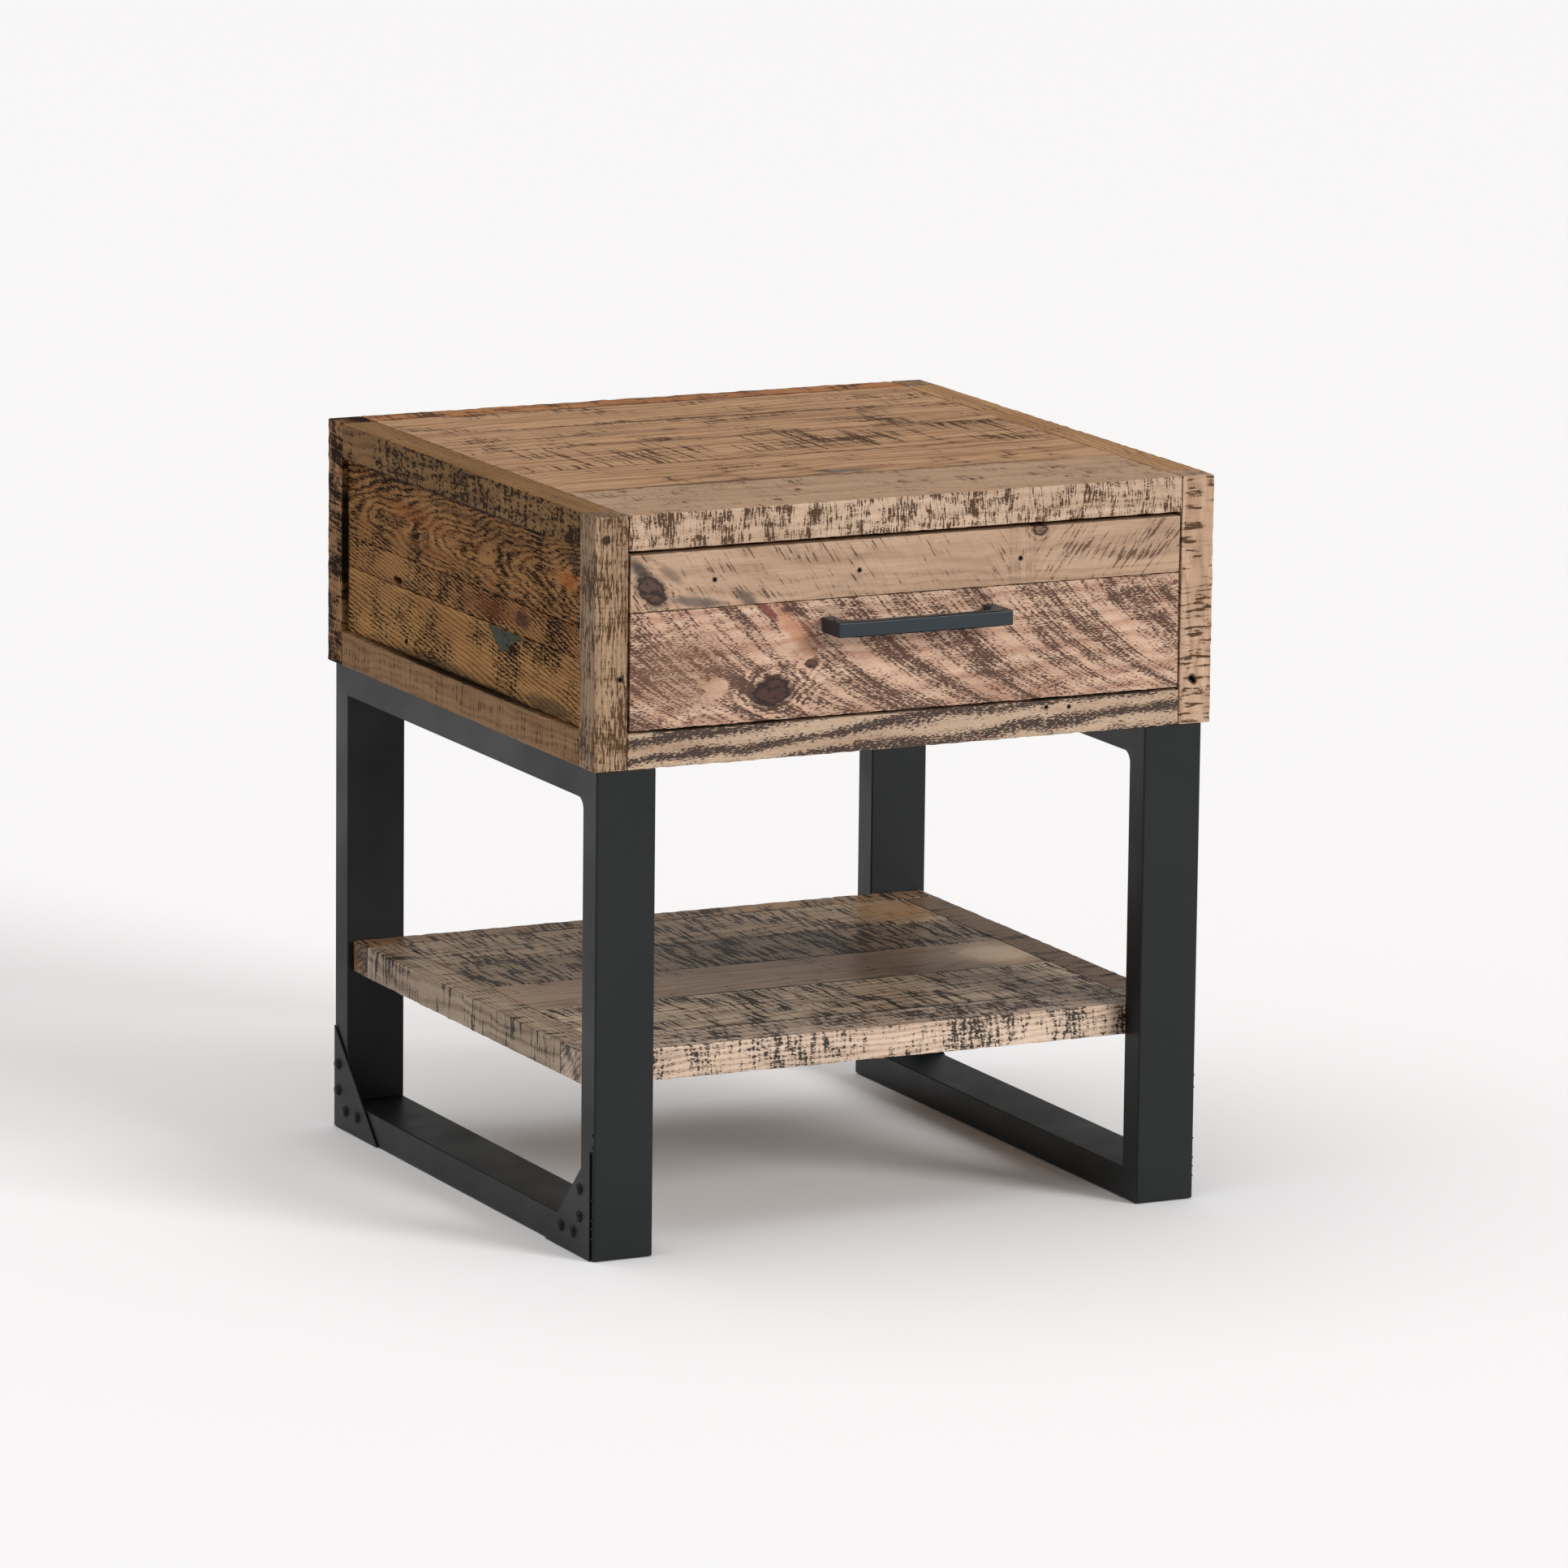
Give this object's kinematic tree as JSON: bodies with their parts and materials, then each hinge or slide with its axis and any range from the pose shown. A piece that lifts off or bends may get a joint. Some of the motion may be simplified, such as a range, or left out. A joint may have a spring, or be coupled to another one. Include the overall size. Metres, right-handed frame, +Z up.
{
  "type": "side table with drawer",
  "caption": "Square side table: planked reclaimed-wood case with one drawer on ball-bearing slides, two welded steel leg frames with riveted corner plates, and a lower shelf.",
  "frame": {"origin": "on the floor, under the middle of the whole table's bounding box, handle included", "axes": "+Z up, -Y towards the drawer front and the way the drawer opens, +X to the right of someone who faces the drawer"},
  "size_m": [0.54, 0.55, 0.59],
  "materials": {
    "pine_front": "rough-sawn reclaimed pine, light tan, clear satin lacquer",
    "pine_rail": "rough-sawn reclaimed pine, clear satin lacquer",
    "pine_post": "rough-sawn reclaimed pine, greyish tan, clear satin lacquer",
    "pine_top": "planed reclaimed pine, clear satin lacquer",
    "pine_panel": "brown stained reclaimed pine, clear satin lacquer",
    "pine_dark": "dark brown reclaimed pine, clear satin lacquer",
    "pine_shelf": "rough-sawn reclaimed pine, grey brown, semi-gloss lacquer",
    "drawer_box_wood": "planed pine, unfinished",
    "plywood": "plywood, unfinished",
    "black_powder_coat": "satin black powder coat on steel tube",
    "handle_paint": "satin blue-black paint on cast metal",
    "zinc_plated_steel": "zinc plated steel"
  },
  "bodies": {
    "table": {"post_front_left": "pine_post", "post_front_right": "pine_post", "post_rear_left": "pine_post", "post_rear_right": "pine_post", "side_top_rail_left": "pine_rail", "side_bottom_rail_left": "pine_rail", "side_top_rail_right": "pine_rail", "side_bottom_rail_right": "pine_rail", "front_bottom_rail": "pine_front", "rear_bottom_rail": "pine_rail", "top_board_rear": "pine_dark", "top_board_1": "pine_top", "top_board_2": "pine_top", "top_board_3": "pine_top", "top_board_4": "pine_top", "top_board_front": "pine_top", "side_board_upper_left": "pine_panel", "side_board_middle_left": "pine_panel", "side_board_lower_left": "pine_panel", "side_board_upper_right": "pine_panel", "side_board_middle_right": "pine_panel", "side_board_lower_right": "pine_panel", "back_panel": "pine_panel", "dust_panel": "plywood", "shelf_board_front": "pine_shelf", "shelf_board_rear": "pine_shelf", "shelf_end_left": "pine_dark", "shelf_end_right": "pine_dark", "shelf_board_1": "pine_shelf", "shelf_board_2": "pine_shelf", "shelf_board_3": "pine_shelf", "shelf_board_4": "pine_shelf", "leg_front_left": "black_powder_coat", "leg_rear_left": "black_powder_coat", "foot_tube_left": "black_powder_coat", "head_tube_left": "black_powder_coat", "corner_plate_front_left": "black_powder_coat", "corner_plate_rear_left": "black_powder_coat", "slide_outer_left": "zinc_plated_steel", "leg_front_right": "black_powder_coat", "leg_rear_right": "black_powder_coat", "foot_tube_right": "black_powder_coat", "head_tube_right": "black_powder_coat", "corner_plate_front_right": "black_powder_coat", "corner_plate_rear_right": "black_powder_coat", "slide_outer_right": "zinc_plated_steel"},
    "slide_carriage": {"slide_middle_left": "zinc_plated_steel", "slide_middle_right": "zinc_plated_steel"},
    "drawer": {"drawer_front_upper": "pine_front", "drawer_front_lower": "pine_front", "drawer_box_front": "drawer_box_wood", "drawer_side_left": "drawer_box_wood", "drawer_side_right": "drawer_box_wood", "drawer_back": "drawer_box_wood", "drawer_bottom": "plywood", "drawer_handle": "handle_paint", "handle_screw_left": "zinc_plated_steel", "handle_screw_right": "zinc_plated_steel", "slide_inner_left": "zinc_plated_steel", "slide_inner_right": "zinc_plated_steel"}
  },
  "joints": [
    {"name": "drawer_slide", "type": "slide", "parent": "table", "child": "drawer", "axis": [0, -1, 0], "range_m": [0, 0.36]},
    {"name": "slide_carriage_travel", "type": "slide", "parent": "table", "child": "slide_carriage", "axis": [0, -1, 0], "range_m": [0, 0.18]}
  ],
  "couplings": [
    {"joint": "slide_carriage_travel", "follows": "drawer_slide", "ratio": 0.5}
  ]
}
